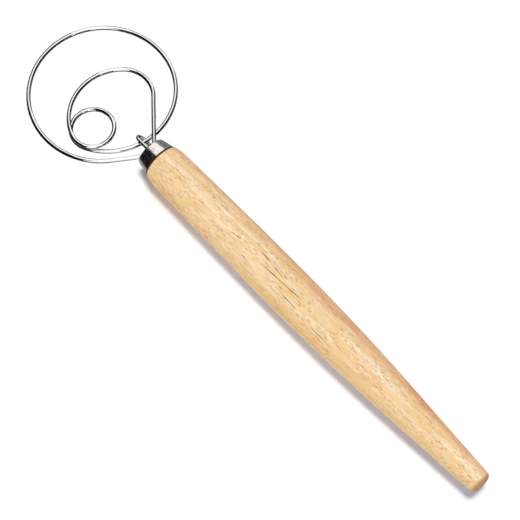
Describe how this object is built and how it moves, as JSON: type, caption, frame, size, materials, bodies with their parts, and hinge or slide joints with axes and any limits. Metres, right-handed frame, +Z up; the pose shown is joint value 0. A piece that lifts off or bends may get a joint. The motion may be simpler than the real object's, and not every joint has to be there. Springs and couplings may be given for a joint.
{
  "type": "dough whisk",
  "caption": "Hand whisk for dough: a tapered turned wood grip with a metal ferrule and one steel wire bent into an outer loop, an inner loop and an eye.",
  "frame": {"origin": "on the surface that the whisk lies on, under the middle of its outline", "axes": "+X along the grip from the head to the tail, +Z up, square to the plane of the wire head"},
  "size_m": [0.344, 0.0844, 0.0262],
  "materials": {
    "wood_grip": "satin clear finish over pale straight-grained wood",
    "ferrule_steel": "polished stainless steel",
    "wire_steel": "bright drawn stainless wire",
    "hook_steel": "bright drawn stainless wire"
  },
  "bodies": {
    "root": {"handle": "wood_grip", "ferrule": "ferrule_steel", "whisk_wire": "wire_steel", "retaining_hook": "hook_steel"}
  },
  "joints": []
}
